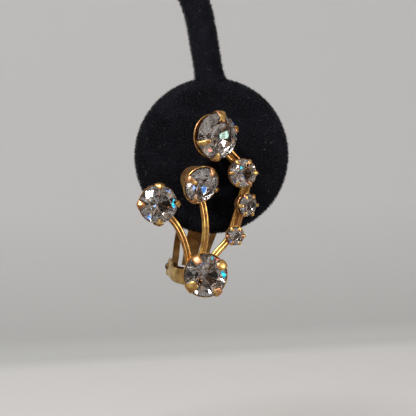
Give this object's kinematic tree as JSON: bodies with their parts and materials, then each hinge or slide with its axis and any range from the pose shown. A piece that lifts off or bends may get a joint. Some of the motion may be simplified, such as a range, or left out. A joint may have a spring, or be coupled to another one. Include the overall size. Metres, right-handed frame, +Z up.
{
  "type": "clip-on earring on a display stand",
  "caption": "Clip-on earring, a spray of prong-set cut stones on wire stems, gripped by its hinged clip on the round pad of a gooseneck display stand.",
  "frame": {"origin": "middle of the underside of the stand's round foot", "axes": "+Z up, -Y the side that the stones face, +X from the stand's upright towards the pad and the earring"},
  "size_m": [0.0781, 0.052, 0.1258],
  "materials": {
    "black_velvet": "flocked black velvet",
    "antique_gold": "worn antique gold plate on brass, darker in the recesses",
    "clip_brass": "dull brushed brass",
    "crystal": "clear cut glass with a foiled back"
  },
  "bodies": {
    "stand_and_spray": {"stand_foot": "black_velvet", "stand_neck": "black_velvet", "stand_pad": "black_velvet", "spray_frame": "antique_gold", "stone_base": "crystal", "stone_left": "crystal", "stone_middle": "crystal", "stone_top": "crystal", "stone_upper": "crystal", "stone_side": "crystal", "stone_lower": "crystal", "hinge_pin": "clip_brass"},
    "clip": {"clip_lever": "clip_brass"}
  },
  "joints": [
    {"name": "clip_hinge", "type": "hinge", "parent": "stand_and_spray", "child": "clip", "pos_m": [0.03132, 0.0039, 0.0506], "axis": [-0.9751, 0, 0.2215], "range_deg": [0, 80]}
  ]
}
